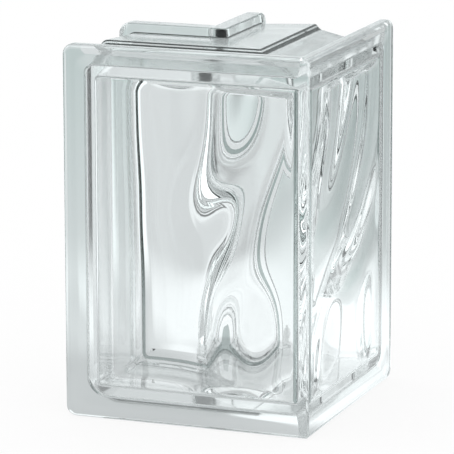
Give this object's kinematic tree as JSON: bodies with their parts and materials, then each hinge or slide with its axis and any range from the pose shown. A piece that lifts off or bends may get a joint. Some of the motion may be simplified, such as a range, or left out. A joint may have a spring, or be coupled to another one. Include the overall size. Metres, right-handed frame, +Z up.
{
  "type": "corner glass block",
  "caption": "Hollow L-shaped corner block of clear pressed glass, with waved panels, ribs round its faces and a mortar groove between them.",
  "frame": {"origin": "on the floor, under the middle of the square that the L-shaped plan fills", "axes": "+Z up along the sharp upright edge; one show face looks along -Y and the other along +X, and the notch opens towards -X and +Y"},
  "size_m": [0.13, 0.13, 0.19],
  "materials": {
    "glass": "clear pressed soda-lime glass with a faint green tint, polished outside and waved inside"
  },
  "bodies": {
    "root": {"outer_half": "glass", "inner_half": "glass"}
  },
  "joints": []
}
